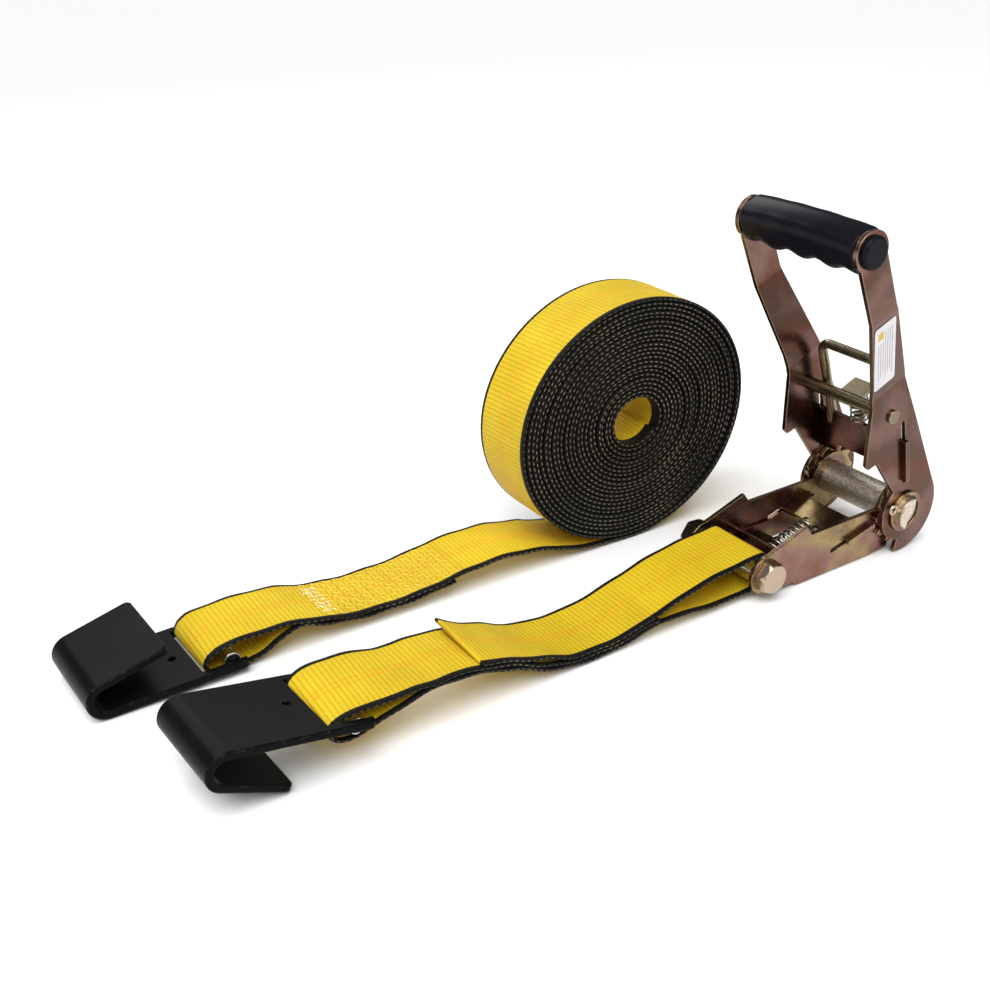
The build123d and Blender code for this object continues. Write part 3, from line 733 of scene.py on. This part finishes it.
def sew(name, strip, first, last, side, body, rows=11, reach=20.5, stitch=4.1, zigzag=3.2, finish=thread):
    """Rows of zigzag stitches on one face of a strap, between two of its steps."""
    points, faces = [], []
    for row in range(rows):
        base = -reach + 2 * reach * row / (rows - 1)
        along = strip.along[first] + (row % 2) * stitch / 2
        flip = 1
        while along + stitch < strip.along[last]:
            ends = []
            for place, across in ((along, base - flip * zigzag / 2), (along + stitch, base + flip * zigzag / 2)):
                index = int(np.searchsorted(strip.along, place))
                share = (place - strip.along[index - 1]) / (strip.along[index] - strip.along[index - 1])
                here = strip.at(index - 1, across, side * THICK / 2)
                ends.append(here + (strip.at(index, across, side * THICK / 2) - here) * share)
            normal = strip.normal[index]
            up = (strip.forward * normal[0] + np.array([0.0, 0.0, normal[1]])) * side
            first_point = len(points)
            points.extend(stitch_points(*ends, up))
            last_ring = first_point + SIDES * (len(STITCH) - 1)
            for ring in range(first_point, last_ring, SIDES):
                for corner in range(SIDES):
                    after = (corner + 1) % SIDES
                    faces.append((ring + corner, ring + after, ring + SIDES + after, ring + SIDES + corner))
            faces.append(tuple(reversed(range(first_point, first_point + SIDES))))
            faces.append(tuple(range(last_ring, last_ring + SIDES)))
            along += stitch * 1.02
            flip = -flip
    data = bpy.data.meshes.new(name)
    data.from_pydata([tuple(point) for point in points], [], faces)
    data.shade_smooth()
    data.materials.append(finish)
    piece = bpy.data.objects.new(name, data)
    bpy.context.collection.objects.link(piece)
    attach(piece, body)
    return piece


def steps_between(strip, after, before, low, high):
    """The first and last step of a strap between two lengths and between two places along X."""
    x = strip.line[:, 0]
    steps = np.nonzero((strip.along > after) & (strip.along < before) & (x > low) & (x < high))[0]
    return int(steps[0]), int(steps[-1])


top_of_short = steps_between(short, short.length - 170, short.length + 1, -326, -209)
sew("short_strap_stitches", short, *top_of_short, 1, "short_strap")
tail_end = roll_length + length_of(tail)
sew("long_strap_stitches", long, *steps_between(long, roll_length, tail_end, -238, -138), -1, "long_strap")
sew("long_strap_tack", long, *steps_between(long, roll_length, tail_end, -238, -226), -1, "long_strap",
    rows=7, reach=15.0, stitch=2.6, zigzag=3.4, finish=pale_thread)
print("stitched")

# %% [markdown]
# ## The grip
# The grip is moulded onto the handle's bar: crowned along its top, with hollows for the fingers underneath. Its
# section is a rounded square that changes all the way along, which a loft does well: one ring of points for each
# step along the bar, each ring a superellipse between its own top and bottom.

# %% The grip
grip_low, grip_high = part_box("grip")
bar_low, bar_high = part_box("grip_bar")
grip_middle = (bar_low + bar_high) / 2
handle_up = (grip_middle - pivot) * Vector((1, 0, 1))
handle_up.normalize()
handle_side = Vector((handle_up.z, 0.0, -handle_up.x))
GRIP_HALF_LONG = (grip_high.y - grip_low.y) / 2
GRIP_HALF_WIDE = 13.0 * MM
GRIP_CORNERS = 48
CROWN_AT_ENDS, CROWN_RISE = 13.4, 2.0
BELLY, FINGER_DEEP, FINGER_WAVES = 13.0, 1.7, 4.0


def grip_top(share):
    """Height of the crown over the bar, from -1 at one end to 1 at the other."""
    return (CROWN_AT_ENDS + CROWN_RISE * (1 - share * share)) * MM


def grip_bottom(share):
    """Depth of the finger hollows, which fade out at the ends."""
    wave = cos(share * pi * FINGER_WAVES + 0.25)
    return (-BELLY - FINGER_DEEP * wave * min(1.0, (1 - abs(share)) * 5)) * MM


def grip_ring(share, scale):
    """One ring of the grip, a superellipse that shrinks by scale at the rounded ends."""
    top, bottom = grip_top(share), grip_bottom(share)
    centre, tall = (top + bottom) / 2, (top - bottom) / 2
    ring = []
    for corner in range(GRIP_CORNERS):
        angle = 2 * pi * corner / GRIP_CORNERS
        c, z = cos(angle), sin(angle)
        wide = abs(c) ** 0.72 * (1 if c > 0 else -1) * GRIP_HALF_WIDE * scale
        high = abs(z) ** 0.78 * (1 if z > 0 else -1) * (tall - (1 - scale) * GRIP_HALF_WIDE)
        place = grip_middle + handle_side * wide + handle_up * (centre + high)
        ring.append(place + Vector((0.0, share * GRIP_HALF_LONG, 0.0)))
    return ring


END_RINGS = [(1.0, 0.90), (0.998, 0.94), (0.99, 0.975), (0.975, 0.993)]
rings = [grip_ring(-share, scale) for share, scale in END_RINGS]
rings += [grip_ring(share, 1.0) for share in np.linspace(-0.95, 0.95, 57)]
rings += [grip_ring(share, scale) for share, scale in reversed(END_RINGS)]
grip_piece = loft("moulded_grip", rings)
grip_piece.data.materials.append(grip_plastic)
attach(grip_piece, "handle")
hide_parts("grip")
print("grip", round(2 * GRIP_HALF_LONG / MM, 1), "mm long")

# %% [markdown]
# ## The label
# A small white film label is stuck on the flared part of the handle's near plate. Its print isn't drawn: a plain
# yellow patch and a few pale grey bars keep the look of a printed label without saying anything. Each is a thin
# sheet of its own, a hair above the film.


# %% The label
LABEL_WIDE, LABEL_LONG = 19.0, 52.0
UNDERSIDE, FILM_TOP, PRINT_TOP = -0.06, 0.16, 0.2      # millimetres from the middle of the label's thickness


def film(name, tone, shade):
    finish = Finish(name, Specular_IOR_Level=0.5)
    worn = finish.noise(140.0, 4.0)
    finish.feed("Base Color", finish.colour(worn.band(0.5, 0.8) * 0.5, tone, shade))
    finish.feed("Roughness", 0.38 + (worn - 0.5) * 0.2)
    finish.relief(worn, 0.00005, 0.3)
    return finish.material


label_low, label_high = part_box("blank_label")
label_middle = (label_low + label_high) / 2
lean_out = (label_high.y - label_low.y) / MM / LABEL_LONG
label_up = handle_up * (1 - lean_out**2) ** 0.5 + Vector((0.0, -lean_out, 0.0))
label_out = handle_side.cross(label_up).normalized()
if label_out.y > 0:
    label_out = -label_out


def patch(name, left, right, low, high, lift, finish, corner=0.0):
    """A thin sheet on the label, in millimetres from the label's middle, with cut corners."""
    outline = [(left + corner, low), (right - corner, low), (right, low + corner), (right, high - corner),
               (right - corner, high), (left + corner, high), (left, high - corner), (left, low + corner)]
    rings = []
    for level in (UNDERSIDE, lift):
        rings.append([label_middle + (handle_side * u + label_up * v + label_out * level) * MM
                      for u, v in outline])
    piece = loft(name, rings)
    for polygon in piece.data.polygons:
        polygon.use_smooth = False
    piece.data.materials.append(finish)
    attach(piece, "handle")
    return piece


white_film = film("label_film", (0.70, 0.68, 0.70), (0.50, 0.47, 0.48))
grey_print = film("label_grey_print", (0.30, 0.29, 0.32), (0.48, 0.46, 0.48))
yellow_print = film("label_yellow_print", (0.62, 0.43, 0.06), (0.45, 0.33, 0.08))
label_piece = patch("label_film", -LABEL_WIDE / 2, LABEL_WIDE / 2, -LABEL_LONG / 2, LABEL_LONG / 2, FILM_TOP,
                    white_film, corner=1.2)
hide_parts("blank_label")
patch("label_patch", -6.6, -1.6, 15.0, 21.5, PRINT_TOP, yellow_print, corner=0.6)
BARS, FIRST_BAR, BAR_PITCH, BAR_WIDE = 7, -6.2, 2.05, 0.55
for bar in range(BARS):
    left = FIRST_BAR + bar * BAR_PITCH
    top_end = 12.0 if bar < 3 else 20.5
    patch(f"label_bar_{bar}", left, left + BAR_WIDE, -19.0 + 2.5 * (bar % 3), top_end, PRINT_TOP, grey_print)
print("label leans out by", round(lean_out, 3))

# %% [markdown]
# ## Floor and light
# The object lies on a plain pale floor in a dim grey room. A wide soft sun lights the floor evenly to its far end,
# and three strip lights give the steel and the black paint long highlights. A bright room would wash them out,
# because plated steel shows little but what it reflects.

# %% Floor and light
scene = bpy.context.scene
FLOOR_SIZE, FLOOR_BELOW = 30.0, 0.0005
bpy.ops.mesh.primitive_plane_add(size=FLOOR_SIZE, location=(0.0, 0.0, -FLOOR_BELOW))
ground = bpy.context.object
ground.name = "floor"
floor_finish = Finish("floor_paper", Roughness=0.9, Base_Color=(0.93, 0.93, 0.93, 1.0))
ground.data.materials.append(floor_finish.material)

world = bpy.data.worlds.new("surround")
world.use_nodes = True
backdrop = world.node_tree.nodes["Background"]
backdrop.inputs["Color"].default_value = (1.0, 1.0, 1.0, 1.0)
backdrop.inputs["Strength"].default_value = 0.18
scene.world = world


def lamp(name, kind, at, power, aim=Vector((0.0, 0.0, 0.05))):
    data = bpy.data.lights.new(name, kind)
    data.energy = power
    lamp_object = bpy.data.objects.new(name, data)
    lamp_object.location = at
    lamp_object.rotation_euler = (aim - Vector(at)).to_track_quat("-Z", "Y").to_euler()
    bpy.context.collection.objects.link(lamp_object)
    return data


overhead = lamp("overhead_sky", "SUN", (-0.7, -0.7, 2.0), 3.1)
overhead.angle = radians(55)
for name, at, wide, tall, watts in (("strip_behind", (0.1, 1.1, 1.0), 1.6, 0.5, 9.0),
                                    ("strip_left", (-1.2, 0.1, 0.8), 0.5, 1.2, 5.0),
                                    ("strip_front", (0.6, -1.2, 0.5), 0.9, 0.4, 4.0)):
    strip_light = lamp(name, "AREA", at, watts)
    strip_light.shape = "RECTANGLE"
    strip_light.size, strip_light.size_y = wide, tall
scene.view_settings.view_transform = "Standard"
print("lights:", [item.name for item in bpy.data.lights])
